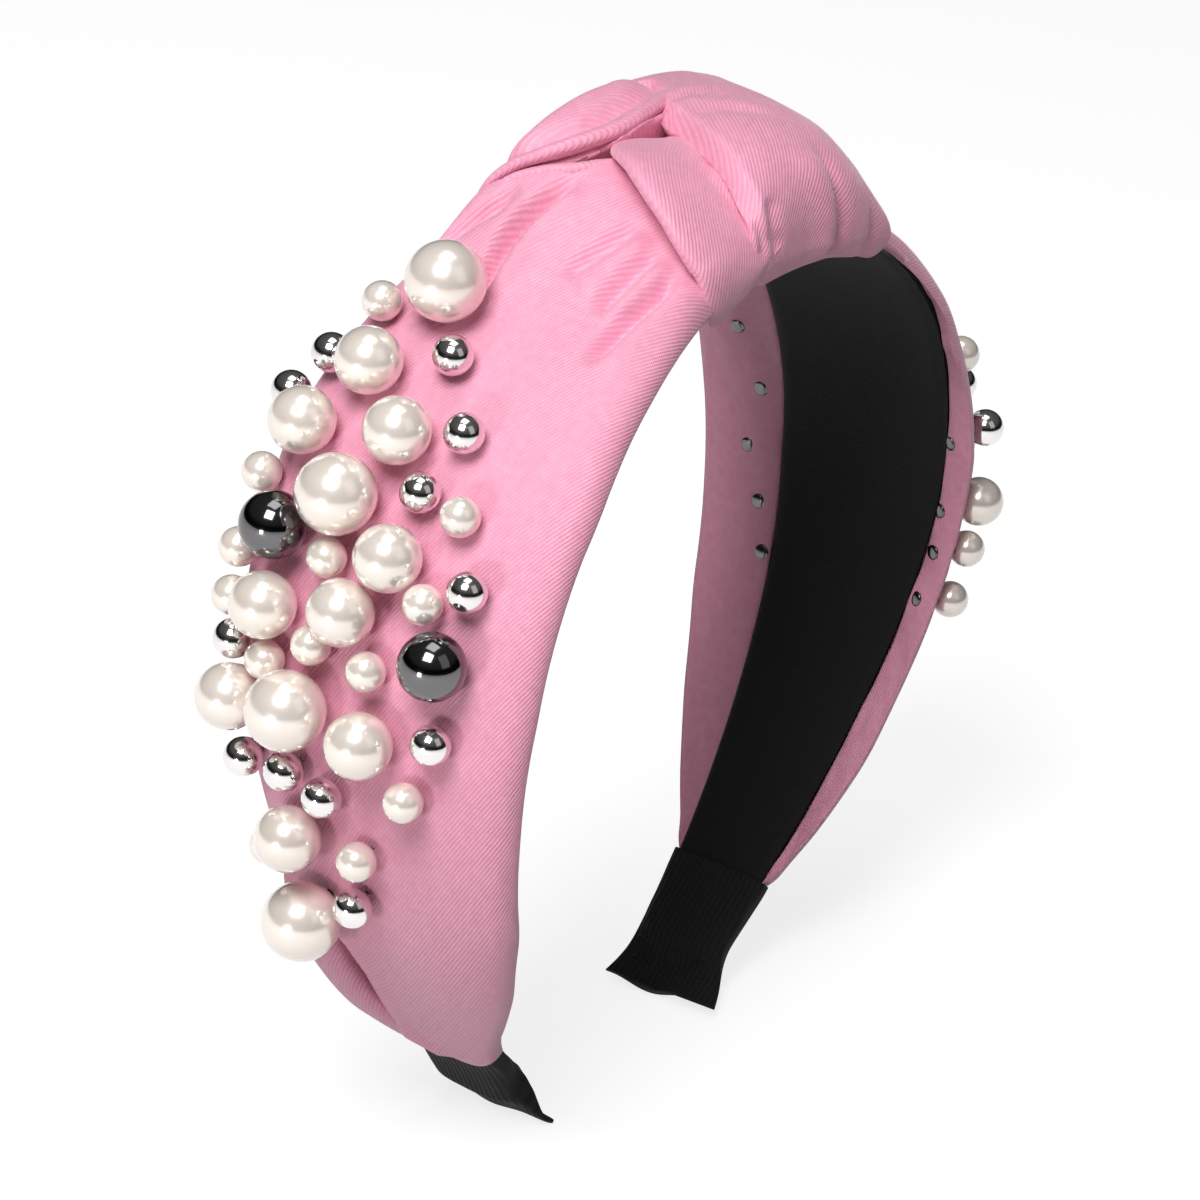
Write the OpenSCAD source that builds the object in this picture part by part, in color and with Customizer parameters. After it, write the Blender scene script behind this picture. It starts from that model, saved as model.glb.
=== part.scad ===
// Knotted headband: a springy plastic hoop under padded pink covers that meet in a
// twisted knot, with riveted pearls and plated beads. It stands on the tips of its arms.
// Left and right are as seen from the front. -X is left, -Y is the front, +Z is up.
// A place on the band is [s, y]: s runs along the hoop from the middle of the crown,
// and y runs across it. An offset is measured outwards from the hoop's outer face.

/* [Hoop] */
// Radius of the crown arc
crown_r = 64; // [62:0.5:66]
// Sweep of the crown arc on each side of the middle, in degrees
crown_sweep = 88; // [86:1:90]
// Radius of the side arc
side_r = 74; // [72:1:76]
// Sweep of the side arc, in degrees
side_sweep = 24; // [22:1:26]
// Radius of the leg arc that leads in to the tip
leg_r = 125; // [120:1:130]
// Sweep of the leg arc, in degrees
leg_sweep = 30; // [29:1:31]
// Thickness of the plastic hoop
core_t = 1.6; // [1.4:0.1:1.8]
// Thickness of the lining ribbon
lining_t = 0.6; // [0.5:0.1:0.7]

/* [Covers] */
// Thickness of one layer of cover cloth
cloth_t = 0.6; // [0.5:0.1:0.7]
// Height of the foam in the middle of an arm
padding_h = 3; // [2.5:0.1:3.5]

/* [Knot] */
// Thickness of the wrapping loop
wrap_t = 6; // [5:0.5:6.5]
// Reach of the wrapping loop to the front and to the back
wrap_reach = 26; // [25:0.5:30]
// Height of the wrapping loop above the hoop
wrap_h = 17; // [15:0.5:18]

/* [Flex] */
// Distance along the hoop from the middle of the crown to each flex hinge
flex_s = 30; // [29:0.5:31]
// Gap left at each flex hinge
flex_gap = 0.8; // [0.6:0.1:1]

/* [Beads] */
// Radius of the pin in a small bead
small_pin_r = 0.5; // [0.4:0.05:0.6]
// Radius of the pin in a large bead
large_pin_r = 0.8; // [0.7:0.05:0.9]
// Radius of a rivet's flat head
rivet_head_r = 1.25; // [1.1:0.05:1.4]

/* [Tips] */
// Distance along the hoop at which the black tip wrap starts
wrap_start = 168; // [166:1:170]
// Thickness of the tip wrap's ribbon
ribbon_t = 0.7; // [0.6:0.1:0.9]
// Length of the wrap that is sewn shut beyond the end of the hoop
sewn_end = 8; // [7:1:9]

/* [Hidden] */
$fn = 48;
slack = 0.1;
far = 200;
PINK = "#e79fb8";
BLACK = "#1c1a1c";
PEARL = "#f0e2d8";
SILVER = "#c8c8cc";
GUNMETAL = "#4a4a50";

// ---- The hoop's outer face: three tangent arcs ----
radii = [crown_r, side_r, leg_r];
sweeps = [crown_sweep, side_sweep, leg_sweep];
starts = [0, crown_sweep, crown_sweep + side_sweep];
function arc_length(i) = radii[i] * sweeps[i] * PI / 180;
function length_before(i) = i == 0 ? 0 : length_before(i - 1) + arc_length(i - 1);
hoop_end = length_before(3);
core_end = hoop_end - sewn_end;
function outward(h) = [sin(h), cos(h)];
// Which arc the distance s falls on
function arc_of(s) = s <= length_before(1) ? 0 : s <= length_before(2) ? 1 : 2;
// Heading of the hoop at s, in degrees down from level
function heading(s) = let (i = arc_of(s)) starts[i] + (s - length_before(i)) / radii[i] * 180 / PI;
// Height of the crown's top, which brings the tips down to the ground at z = 0
foot_lift = 0.6;
// The covers reach further to the back than to the front, so the middle of the hoop, where
// y is 0 on the band, stands this far in front of the middle of the footprint.
mid_y = -4;
crown_z = foot_lift + crown_r * (1 - cos(starts[1])) + side_r * (cos(starts[1]) - cos(starts[2]))
    + leg_r * (cos(starts[2]) - cos(starts[2] + leg_sweep));
// Centre of arc i, as [x, z]
function centre(i) = i == 0 ? [0, crown_z - crown_r]
    : centre(i - 1) + (radii[i - 1] - radii[i]) * outward(starts[i]);
// [x, z] of the point at s and offset off
function hoop(s, off) = let (i = arc_of(s)) centre(i) + (radii[i] + off) * outward(heading(s));
// The same as a point in space, on the -X side when s is negative
function on_band(s, y, off) = let (p = hoop(abs(s), off)) [s < 0 ? -p[0] : p[0], y + mid_y, p[1]];

// ---- Widths, as [s, half width], and the covers' drift to the back, as [s, y] ----
core_widths = [[0, 15.5], [60, 16.5], [100, 14.5], [135, 11], [170, 7.5], [200, 5]];
cover_widths = [[20, 22], [40, 24], [60, 26.5], [90, 26.3], [110, 24], [128, 21.5], [145, 18], [160, 13], [168, 8.9], [174, 7.8]];
left_drift = [[24, 1.3], [64, 1.5], [90, 0.5], [110, -1.5], [128, -3], [145, -2], [160, -0.5], [168, 0]];
right_drift = [[24, 5], [40, 7], [64, 7.5], [90, 6], [128, 4.5], [160, 1], [168, 0]];
tip_widths = [[160, 10], [172, 9.4], [178, 8.2], [184, 7.4], [190, 9], [200, 12.9]];
// Towards its tips the hoop leans to the back, so that they stand nearer under its weight.
hoop_drift = [[90, 0], [200, 2.5]];
function hoop_y(s) = lookup(s, hoop_drift);
function core_half(s) = lookup(s, core_widths);
function cover_half(s) = lookup(s, cover_widths);
// Middle of a cover, whose drift is counted from the middle of the hoop
function cover_y(s, drift) = lookup(s, drift) + hoop_y(s);
lining_edge = slack + lining_t;

// ---- Offsets of the cover's layers ----
cloth_off = 1.5 * slack;
padding_off = cloth_off + cloth_t + slack;
outer_off = padding_off + slack;
// The foam thins out where the cover runs under the tip wrap.
padding_heights = [[136, 1], [150, 0.6], [165, 0.12], [180, 0.05]];
// Height of the foam at s and at u, which runs from -1 to 1 across the cover
function foam(s, u) = padding_h * lookup(s, padding_heights) * (1 - pow(u, 4));
function foam_slope(s, u) = -4 * padding_h * lookup(s, padding_heights) * pow(u, 3) / cover_half(s);

// ---- Exact strips: arcs of rectangular section, cut to a width outline ----
module arc_strip(i, h0, h1, off0, off1, half)
    translate([centre(i)[0], mid_y, centre(i)[1]])
    rotate([90, 0, 0])
    rotate([0, 0, 90 - h1])
    rotate_extrude(angle = h1 - h0)
    translate([radii[i] + off0, -half])
    square([off1 - off0, 2 * half]);

// Each arc runs this many degrees into the next, so that they join as one solid.
lap = 0.002;
// A strip on the +X side from s0 to s1, along the middle of the hoop, whose half width
// follows widths plus extra
module strip(s0, s1, off0, off1, widths, extra) {
    steps = 9;
    margin = 3;
    places = [for (k = [0 : steps]) s0 - margin + (s1 - s0 + 2 * margin) * k / steps];
    edge = function (side) [for (s = places) [mid_y + hoop_y(s) + side * (lookup(s, widths) + extra), on_band(s, 0, 0)[2]]];
    front = edge(-1);
    intersection() {
        for (i = [arc_of(s0) : arc_of(s1)])
            arc_strip(i, max(heading(s0), starts[i]), min(heading(s1), starts[i] + sweeps[i] + lap), off0, off1, far / 2);
        rotate([90, 0, 90])
        linear_extrude(far)
        polygon(concat(edge(1), [for (k = [steps : -1 : 0]) front[k]]));
    }
}

// ---- Skins: closed meshes through a row of rings ----
// A ring has an even number of points: out along one face, then back along the other.
module skin(rings) {
    n = len(rings[0]);
    last = len(rings) - 1;
    rungs = [for (j = [0 : n / 2 - 2]) each [[j, j + 1, n - 2 - j], [j, n - 2 - j, n - 1 - j]]];
    polyhedron(
        points = [for (r = rings) each r],
        faces = concat(
            rungs,
            [for (k = [0 : last - 1], j = [0 : n - 1])
                let (a = k * n + j, b = k * n + (j + 1) % n)
                each [[a, a + n, b + n], [a, b + n, b]]],
            [for (r = rungs) [r[2] + last * n, r[1] + last * n, r[0] + last * n]]
        )
    );
}

// ---- Parts of the crown ----
crown_half_angle = heading(flex_s - flex_gap / 2);

module crown_core()
    color("dimgray")
    arc_strip(0, -crown_half_angle, crown_half_angle, -core_t, 0, core_half(flex_s));

// The lining covers the hoop's inner face and turns up over both of its edges.
module crown_lining()
    color(BLACK)
    difference() {
        arc_strip(0, -crown_half_angle, crown_half_angle, -core_t - slack - lining_t, 0,
            core_half(flex_s) + lining_edge);
        arc_strip(0, -crown_half_angle - 1, crown_half_angle + 1, -core_t - slack, 1,
            core_half(flex_s) + slack);
    }

// The wrapping loop goes over the knot from the back edge to the front edge, leaning to
// the left as it goes, and tucks in under both edges of the lining. The angle a runs from
// wrap_low at the back tuck, through 90 at the top, to the front tuck.
wrap_steps = 30;
wrap_points = 16;
wrap_low = -50;
tuck_off = core_t + lining_t + 3 * slack;
tuck_t = 1.6;
// Middle and half width of the loop along the band, as [a, s]
wrap_middles = [[-50, 17], [20, 16], [90, 7], [230, 2]];
wrap_halves = [[-50, 12], [20, 13], [90, 21.5], [230, 24.5]];
// [y, off] of the loop's outer face (depth 0) or inner face (depth 1) at angle a
function wrap_face(a, depth) =
    let (c = cos(a), q = sin(a), reach = wrap_reach - depth * wrap_t, rise = wrap_h - depth * wrap_t,
        low = tuck_off + (1 - depth) * tuck_t)
    [sign(c) * reach * pow(abs(c), q > 0 ? 0.7 : 1), q > 0 ? rise * pow(q, 0.8) : -low * min(1, -2.5 * q)];
// The loop is lower towards its two borders.
wrap_fall = 0.35;
function wrap_ring(a) =
    let (outer = wrap_face(a, 0), inner = wrap_face(a, 1))
    [for (j = [0 : wrap_points - 1])
        let (t = 360 / wrap_points * (j + 0.5), p = (outer + inner) / 2 + (outer - inner) / 2 * sin(t),
            w = sign(cos(t)) * pow(abs(cos(t)), 0.6), fall = p[1] > 0 ? 1 - wrap_fall * pow(abs(w), 3) : 1)
        on_band(lookup(a, wrap_middles) + lookup(a, wrap_halves) * w, p[0], p[1] * fall)];

module knot_right_loop()
    color(PINK)
    skin([for (k = [0 : wrap_steps]) wrap_ring(wrap_low + (180 - 2 * wrap_low) * k / wrap_steps)]);

// The crossing loop runs along the band, through the wrapping loop.
cross_half = 18;
cross_h = 6;
cross_end_h = 4.6;
cross_points = 16;
cross_rings = 12;
function cross_ring(s) =
    let (h = cross_end_h + (cross_h - cross_end_h) * (1 - pow(s / flex_s, 2)))
    [for (j = [0 : cross_points - 1])
        let (t = 360 / cross_points * (j + 0.5))
        on_band(s, cross_half * cos(t), cloth_off + h / 2 + h / 2 * sin(t))];

module knot_left_loop() {
    reach = flex_s - flex_gap / 2;
    color(PINK)
    skin([for (k = [0 : cross_rings]) cross_ring(reach * (2 * k / cross_rings - 1))]);
}

// ---- Parts of an arm, drawn on the +X side ----
arm_start = flex_s + flex_gap / 2;
cover_end = wrap_start + 5;

module arm_core()
    color("dimgray")
    strip(arm_start, core_end, -core_t, 0, core_widths, 0);

module arm_lining()
    color(BLACK)
    difference() {
        strip(arm_start, core_end, -core_t - slack - lining_t, 0, core_widths, lining_edge);
        strip(arm_start - 1, core_end + 1, -core_t - slack, 1, core_widths, slack);
    }

// One layer of a cover: at each s its lower face rises by low times the foam's height,
// and its upper face by high times that height.
cover_steps = 12;
cover_rings = 30;
function layer_face(s, half, y, off, part) =
    [for (k = [0 : cover_steps]) let (u = 2 * k / cover_steps - 1) on_band(s, y + half * u, off + part * foam(s, u))];
module layer(drift, inset, off, thick, low, high)
    skin([for (k = [0 : cover_rings])
        let (s = arm_start + (cover_end - arm_start) * k / cover_rings, half = cover_half(s) - inset,
            y = cover_y(s, drift), top = layer_face(s, half, y, off + thick, high))
        concat(layer_face(s, half, y, off, low), [for (j = [cover_steps : -1 : 0]) top[j]])]);

module cover_inner(drift)
    color(PINK)
    layer(drift, 0.3, cloth_off, cloth_t, 0, 0);

module padding(drift)
    color("white")
    layer(drift, 1.5, padding_off, slack / 2, 0, 1);

module cover_outer(drift)
    color(PINK)
    layer(drift, 0, outer_off, cloth_t, 1, 1);

// The tip wrap is a flat sock over the ends of the hoop, the lining and the cover.
sock_in = -core_t - lining_t - 2 * slack;
sock_out = outer_off + cloth_t + 0.5;
module tip_wrap()
    color(BLACK)
    difference() {
        strip(wrap_start, hoop_end, sock_in - ribbon_t, sock_out + ribbon_t, tip_widths, ribbon_t);
        strip(wrap_start - 1, core_end + slack, sock_in, sock_out, tip_widths, 0);
        translate([0, -far / 2, -far]) cube([far, far, far]);
    }

// A row of thread closes the wrap beyond the end of the hoop.
stitch_s = core_end + sewn_end / 2;
stitch_r = 0.25;
stitch_pitch = 2.4;
stitch_length = 1.6;
stitch_count = 6;
module tip_stitches()
    color("#6d6470")
    for (k = [0 : stitch_count - 1])
        translate(on_band(stitch_s, hoop_y(stitch_s) + stitch_pitch * (k + 0.5 - stitch_count / 2),
            sock_in - ribbon_t - stitch_r))
        rotate([90, 0, 0])
        cylinder(h = stitch_length, r = stitch_r, center = true);

// ---- Beads and rivets, each placed by [s, y] ----
left_12mm = [[39, 10], [69, 9.5], [97, 9], [130, 8]];
left_10mm = [[52, 14.5], [62, 20], [59, 5], [74, -1.5], [85.5, 16.5], [82.5, 3.5], [99.5, 20], [98, -3.5],
    [116.5, 9]];
left_6mm = [[43, 19.5], [66, -9], [77, 9.5], [78, -8], [88.5, 8.5], [93, 16], [89, -1.5], [104.5, -10.5],
    [117, -2], [70, 25], [87, 24.2], [80.5, 25], [122, 15]];
left_silver = [[47, 4], [56, -4], [65, -1.5], [74.5, -14], [95, -14], [107.5, 11], [109, 4], [126, 0],
    [52, 22.5], [58.5, 26], [92.5, 22.5], [109, 19]];
left_gunmetal = [[75.5, 18.3], [84.5, -13]];
right_12mm = [[40.7, 18.7], [70, 4], [96, 1], [130, 1]];
right_10mm = [[51, 7.5], [60, 12], [59, 23], [75, 16], [82, -4], [85.5, 8.5], [97, 13], [116, 1]];
right_8mm = [[101, -16.5], [109, 10]];
right_6mm = [[77, -13], [108.5, -16.5], [117, -15.5], [102, 23], [119, 16], [43, 2.5], [64.5, -3.8], [90, -6.5],
    [93, -12], [67, 21], [122, 8.5], [49, 21.7]];
right_silver = [[88, -17.5], [91, 21], [111, 19], [36.5, 4.5], [75, -6.5], [105.5, 3.5], [123, -7], [83, -12],
    [61.5, 2], [51.4, 15.6], [128, 12]];
right_gunmetal = [[80, 25.5], [107, -7]];

bead_gap = 0.1;
bore_gap = 0.03;
rivet_head_t = 0.5;
rivet_head_sink = 0.35;
rivet_head_proud = 0.25;

// Offset of the cover's outer face at a place
function face_off(place, u) = outer_off + cloth_t + foam(place[0], u);
function across(place, drift) = (place[1] - cover_y(place[0], drift)) / cover_half(place[0]);
// Moves children to the cover's outer face, with +Z along that face's own normal
module at_cover(place, drift) {
    u = across(place, drift);
    translate(on_band(place[0], place[1], face_off(place, u)))
    rotate([0, heading(place[0]), 0])
    rotate([atan(foam_slope(place[0], u)), 0, 0])
    children();
}

module beads(places, r, pin_r, drift)
    for (place = places)
        at_cover(place, drift)
        translate([0, 0, r + bead_gap])
        difference() {
            sphere(r);
            translate([0, 0, -r - 1]) cylinder(h = r + 1, r = pin_r + bore_gap);
        }

// A rivet's pin reaches from its head, inside the cover, to the middle of its bead. The
// head is sunk in the inner layer over the hoop, and stands proud of it beyond the lining.
module rivets(places, r, pin_r, drift)
    for (place = places) {
        beyond = abs(place[1] - hoop_y(place[0])) > core_half(place[0]) + lining_edge + rivet_head_r;
        seat = beyond ? cloth_off - rivet_head_proud : cloth_off + rivet_head_sink;
        depth = face_off(place, across(place, drift)) - seat;
        at_cover(place, drift)
        translate([0, 0, -depth]) {
            cylinder(h = rivet_head_t, r = rivet_head_r);
            cylinder(h = depth + r, r = pin_r);
        }
    }

module left_pearls_12mm() color(PEARL) beads(left_12mm, 6, large_pin_r, left_drift);
module left_pearls_10mm() color(PEARL) beads(left_10mm, 5, large_pin_r, left_drift);
module left_pearls_6mm() color(PEARL) beads(left_6mm, 3, small_pin_r, left_drift);
module left_silver_beads() color(SILVER) beads(left_silver, 3, small_pin_r, left_drift);
module left_gunmetal_beads() color(GUNMETAL) beads(left_gunmetal, 5, large_pin_r, left_drift);
module left_large_rivets()
    color("silver") {
        rivets(left_12mm, 6, large_pin_r, left_drift);
        rivets(concat(left_10mm, left_gunmetal), 5, large_pin_r, left_drift);
    }
module left_small_rivets()
    color("silver")
    rivets(concat(left_6mm, left_silver), 3, small_pin_r, left_drift);

module right_pearls_12mm() color(PEARL) beads(right_12mm, 6, large_pin_r, right_drift);
module right_pearls_10mm() color(PEARL) beads(right_10mm, 5, large_pin_r, right_drift);
module right_pearls_8mm() color(PEARL) beads(right_8mm, 4, small_pin_r, right_drift);
module right_pearls_6mm() color(PEARL) beads(right_6mm, 3, small_pin_r, right_drift);
module right_silver_beads() color(SILVER) beads(right_silver, 3, small_pin_r, right_drift);
module right_gunmetal_beads() color(GUNMETAL) beads(right_gunmetal, 5, large_pin_r, right_drift);
module right_large_rivets()
    color("silver") {
        rivets(right_12mm, 6, large_pin_r, right_drift);
        rivets(concat(right_10mm, right_gunmetal), 5, large_pin_r, right_drift);
    }
module right_small_rivets()
    color("silver") {
        rivets(right_8mm, 4, small_pin_r, right_drift);
        rivets(concat(right_6mm, right_silver), 3, small_pin_r, right_drift);
    }

module left() mirror([1, 0, 0]) children();

crown_core();
crown_lining();
knot_right_loop();
knot_left_loop();
left() arm_core();  // left_core
left() arm_lining();  // left_lining
left() cover_inner(left_drift);  // left_cover_inner
left() padding(left_drift);  // left_padding
left() cover_outer(left_drift);  // left_cover_outer
left() tip_wrap();  // left_tip_wrap
left() tip_stitches();  // left_tip_stitches
left() left_pearls_12mm();
left() left_pearls_10mm();
left() left_pearls_6mm();
left() left_silver_beads();
left() left_gunmetal_beads();
left() left_large_rivets();
left() left_small_rivets();
arm_core();  // right_core
arm_lining();  // right_lining
cover_inner(right_drift);  // right_cover_inner
padding(right_drift);  // right_padding
cover_outer(right_drift);  // right_cover_outer
tip_wrap();  // right_tip_wrap
tip_stitches();  // right_tip_stitches
right_pearls_12mm();
right_pearls_10mm();
right_pearls_8mm();
right_pearls_6mm();
right_silver_beads();
right_gunmetal_beads();
right_large_rivets();
right_small_rivets();
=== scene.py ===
"""Knotted headband: padded satin covers, twisted knot, riveted pearls and beads, ribbon tips.

A place on the band is (s, y, off): s runs along the hoop's outer face from the middle of the
crown, positive to the right (+X), y runs across it to the back, and off is the distance outwards
from that face. Lengths below are in millimetres until a mesh is made, then in metres.
"""
import math

import bmesh
import bpy
import numpy as np
from mathutils import Matrix, Vector


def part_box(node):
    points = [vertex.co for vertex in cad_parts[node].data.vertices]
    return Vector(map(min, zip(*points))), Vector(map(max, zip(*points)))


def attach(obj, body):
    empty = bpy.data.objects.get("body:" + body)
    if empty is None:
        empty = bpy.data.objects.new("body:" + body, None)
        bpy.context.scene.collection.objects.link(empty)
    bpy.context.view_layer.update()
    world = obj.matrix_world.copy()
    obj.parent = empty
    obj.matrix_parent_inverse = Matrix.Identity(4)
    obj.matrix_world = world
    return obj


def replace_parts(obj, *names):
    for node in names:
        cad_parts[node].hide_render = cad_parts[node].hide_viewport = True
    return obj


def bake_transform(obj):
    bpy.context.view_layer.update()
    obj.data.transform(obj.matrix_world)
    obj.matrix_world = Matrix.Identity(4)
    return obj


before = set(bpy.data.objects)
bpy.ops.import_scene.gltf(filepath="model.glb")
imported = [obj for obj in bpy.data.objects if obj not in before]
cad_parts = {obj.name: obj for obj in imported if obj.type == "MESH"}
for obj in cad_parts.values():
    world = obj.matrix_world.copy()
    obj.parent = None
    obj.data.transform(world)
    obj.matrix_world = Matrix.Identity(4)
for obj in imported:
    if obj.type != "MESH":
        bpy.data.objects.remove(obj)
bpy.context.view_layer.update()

MM = 0.001

# ---------------------------------------------------------------- the hoop
RADII = (64.0, 74.0, 125.0)
SWEEPS = (88.0, 24.0, 30.0)
CROWN_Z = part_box("crown_core")[1][2] / MM
ARC_LENGTHS = [r * math.radians(a) for r, a in zip(RADII, SWEEPS)]
HOOP_END = sum(ARC_LENGTHS)
CORE_END = HOOP_END - 8.0


def arc_centres():
    """The (x, z) centre and starting angle of each arc of the right half."""
    centres, starts = [np.array([0.0, CROWN_Z - RADII[0]])], [0.0]
    for i in (1, 2):
        h = starts[-1] + SWEEPS[i - 1]
        n = np.array([math.sin(math.radians(h)), math.cos(math.radians(h))])
        centres.append(centres[-1] + (RADII[i - 1] - RADII[i]) * n)
        starts.append(h)
    return np.array(centres), np.array(starts)


CENTRES, STARTS = arc_centres()
BEFORE = np.array([0.0, ARC_LENGTHS[0], ARC_LENGTHS[0] + ARC_LENGTHS[1]])


def on_band(s, y, off):
    """Places on the band as points in space, in millimetres. Works on arrays."""
    s, y, off = np.broadcast_arrays(np.asarray(s, float), np.asarray(y, float), np.asarray(off, float))
    a = np.abs(s)
    i = np.searchsorted(BEFORE[1:], a, side="right")
    radius = np.array(RADII)[i]
    h = np.radians(STARTS[i]) + (a - BEFORE[i]) / radius
    x = CENTRES[i, 0] + (radius + off) * np.sin(h)
    z = CENTRES[i, 1] + (radius + off) * np.cos(h)
    return np.stack([np.where(s < 0, -x, x), y, z], axis=-1)


def table(rows, reach=6.0):
    """A smooth function through [s, value] rows: straight lines, averaged over reach each way."""
    xs, ys = np.array(rows, float).T

    def value(s):
        s = np.abs(np.asarray(s, float))
        steps = np.linspace(-reach, reach, 7)
        return np.mean([np.interp(s + d, xs, ys) for d in steps], axis=0)

    return value


# Half widths, and how far each cover's middle lies to the back, by distance from the crown's middle
core_half = table([[0, 15.5], [60, 16.5], [100, 14.5], [135, 11], [170, 7.5], [200, 5]], 2)
cover_half = table([[20, 20.2], [28, 21.2], [42, 24], [60, 26.5], [90, 26.3], [110, 24], [128, 21.5],
                    [145, 18], [160, 13.4], [168, 10], [174, 9]], 3)
tip_half = table([[160, 8.8], [172, 8.4], [178, 7.8], [184, 7.4], [190, 8.8], [200, 11.8]], 2)
DRIFT = {
    "left": table([[20, -0.6], [28, -0.2], [44, 1.2], [64, 1.5], [90, 0.5], [110, -1.5], [128, -3],
                   [145, -2], [160, -0.5], [168, 0]], 3),
    "right": table([[24, 5], [40, 7], [64, 7.5], [90, 6], [128, 4.5], [160, 1], [168, 0]], 3),
}
foam_share = table([[136, 1], [150, 0.7], [165, 0.45], [172, 0.4], [180, 0.3]], 2)
FOAM_H = 3.0
FACE_OFF = 1.55
SIGN = {"left": -1.0, "right": 1.0}


def foam(s, u):
    return FOAM_H * foam_share(s) * (1 - np.clip(np.abs(u), 0, 1) ** 4)


def smoothstep(x):
    x = np.clip(x, 0, 1)
    return x * x * (3 - 2 * x)


# ---------------------------------------------------------------- smooth noise
def lattice(seed, size=64):
    return np.random.default_rng(seed).uniform(-1, 1, (size, size))


def noise(p, q, pitch, seed=0):
    """Smooth random values between -1 and 1 over the plane (p, q), with the given pitch."""
    grid = lattice(seed)
    n = grid.shape[0]
    p, q = np.asarray(p) / pitch, np.asarray(q) / pitch
    i, j = np.floor(p).astype(int), np.floor(q).astype(int)
    a, b = smoothstep(p - i), smoothstep(q - j)

    def at(di, dj):
        return grid[(i + di) % n, (j + dj) % n]

    return (at(0, 0) * (1 - a) + at(1, 0) * a) * (1 - b) + (at(0, 1) * (1 - a) + at(1, 1) * a) * b


def distance_to_line(p, q, points):
    """Distance from each (p, q) to a polyline, how far along it (0 to 1) the nearest point is, and
    which side it is on: +1 is the +q side of a line drawn towards +p."""
    pts = np.array(points, float)
    lengths = np.hypot(*np.diff(pts, axis=0).T)
    total, done = lengths.sum(), 0.0
    best, along, side = np.full(np.shape(p), 1e9), np.zeros(np.shape(p)), np.ones(np.shape(p))
    for a, b, length in zip(pts[:-1], pts[1:], lengths):
        run = b - a
        t = np.clip(((p - a[0]) * run[0] + (q - a[1]) * run[1]) / length**2, 0, 1)
        d = np.hypot(p - a[0] - t * run[0], q - a[1] - t * run[1])
        near = d < best
        best = np.where(near, d, best)
        along = np.where(near, (done + t * length) / total, along)
        side = np.where(near, np.where(run[0] * (q - a[1]) < run[1] * (p - a[0]), -1.0, 1.0), side)
        done += length
    return best, along, side


# ---------------------------------------------------------------- making meshes
def make_mesh(name, verts, faces, uvs=None, smooth=True):
    """An object from points in millimetres, faces, and one (u, v) in millimetres per face corner."""
    mesh = bpy.data.meshes.new(name)
    mesh.from_pydata((np.asarray(verts) * MM).tolist(), [], [tuple(int(i) for i in f) for f in faces])
    mesh.update()
    if uvs is not None:
        layer = mesh.uv_layers.new(name="weave")
        layer.data.foreach_set("uv", (np.asarray(uvs, float) * MM).ravel())
    mesh.polygons.foreach_set("use_smooth", [smooth] * len(mesh.polygons))
    obj = bpy.data.objects.new(name, mesh)
    bpy.context.scene.collection.objects.link(obj)
    return obj


def tube_mesh(name, rings, uv):
    """A closed tube through rings of points (k, n, 3), capped by fans, with uv (k, n + 1, 2)."""
    k, n = rings.shape[:2]
    verts = rings.reshape(-1, 3).tolist()
    faces, corners = [], []
    for i in range(k - 1):
        for j in range(n):
            m = (j + 1) % n
            faces.append((i * n + j, (i + 1) * n + j, (i + 1) * n + m, i * n + m))
            corners += [uv[i, j], uv[i + 1, j], uv[i + 1, j + 1], uv[i, j + 1]]
    for i, flip in ((0, False), (k - 1, True)):
        hub = len(verts)
        verts.append(rings[i].mean(axis=0).tolist())
        for j in range(n):
            m = (j + 1) % n
            face = (hub, i * n + j, i * n + m)
            faces.append(face[::-1] if flip else face)
            corners += [uv[i, j]] * 3
    obj = make_mesh(name, verts, faces, corners)
    fix_normals(obj)
    return obj


def weave_uv(along, around):
    """Cloth coordinates for tube_mesh: one length per ring, and the distances around each ring."""
    return np.stack([np.repeat(along[:, None], around.shape[1], axis=1), around], axis=-1)


def fix_normals(obj):
    b = bmesh.new()
    b.from_mesh(obj.data)
    bmesh.ops.recalc_face_normals(b, faces=b.faces)
    b.to_mesh(obj.data)
    b.free()


def between(points, count, spacing=None):
    """A smooth line of count places through given points of any number of values each.

    The first spacing values of each point, or all of them, say how far apart the points are."""
    pts = np.array(points, float)
    gaps = np.linalg.norm(np.diff(pts[:, :spacing], axis=0), axis=1) ** 0.5
    knots = np.concatenate([[0], np.cumsum(gaps)]) / gaps.sum()
    slopes = np.gradient(pts, knots, axis=0)
    t = np.linspace(0, 1, count)
    i = np.clip(np.searchsorted(knots, t, side="right") - 1, 0, len(pts) - 2)
    width = (knots[i + 1] - knots[i])[:, None]
    x = (t - knots[i])[:, None] / width
    h0, h1 = 2 * x**3 - 3 * x**2 + 1, x**3 - 2 * x**2 + x
    h2, h3 = -2 * x**3 + 3 * x**2, x**3 - x**2
    return h0 * pts[i] + h1 * width * slopes[i] + h2 * pts[i + 1] + h3 * width * slopes[i + 1]


def unit(v):
    return v / np.linalg.norm(v, axis=-1, keepdims=True)


# ---------------------------------------------------------------- materials
def material(name, colour, roughness, **sockets):
    m = bpy.data.materials.new(name)
    m.use_nodes = True
    shader = m.node_tree.nodes["Principled BSDF"]
    shader.inputs["Base Color"].default_value = (*colour, 1)
    shader.inputs["Roughness"].default_value = roughness
    for socket, value in sockets.items():
        shader.inputs[socket.replace("_", " ")].default_value = value
    m.diffuse_color = (*colour, 1)
    return m, m.node_tree, shader


def math_node(tree, operation, a, b=None):
    node = tree.nodes.new("ShaderNodeMath")
    node.operation = operation
    for socket, value in zip(node.inputs, (a, b)):
        if isinstance(value, (int, float)):
            socket.default_value = value
        elif value is not None:
            tree.links.new(value, socket)
    return node.outputs[0]


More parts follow.
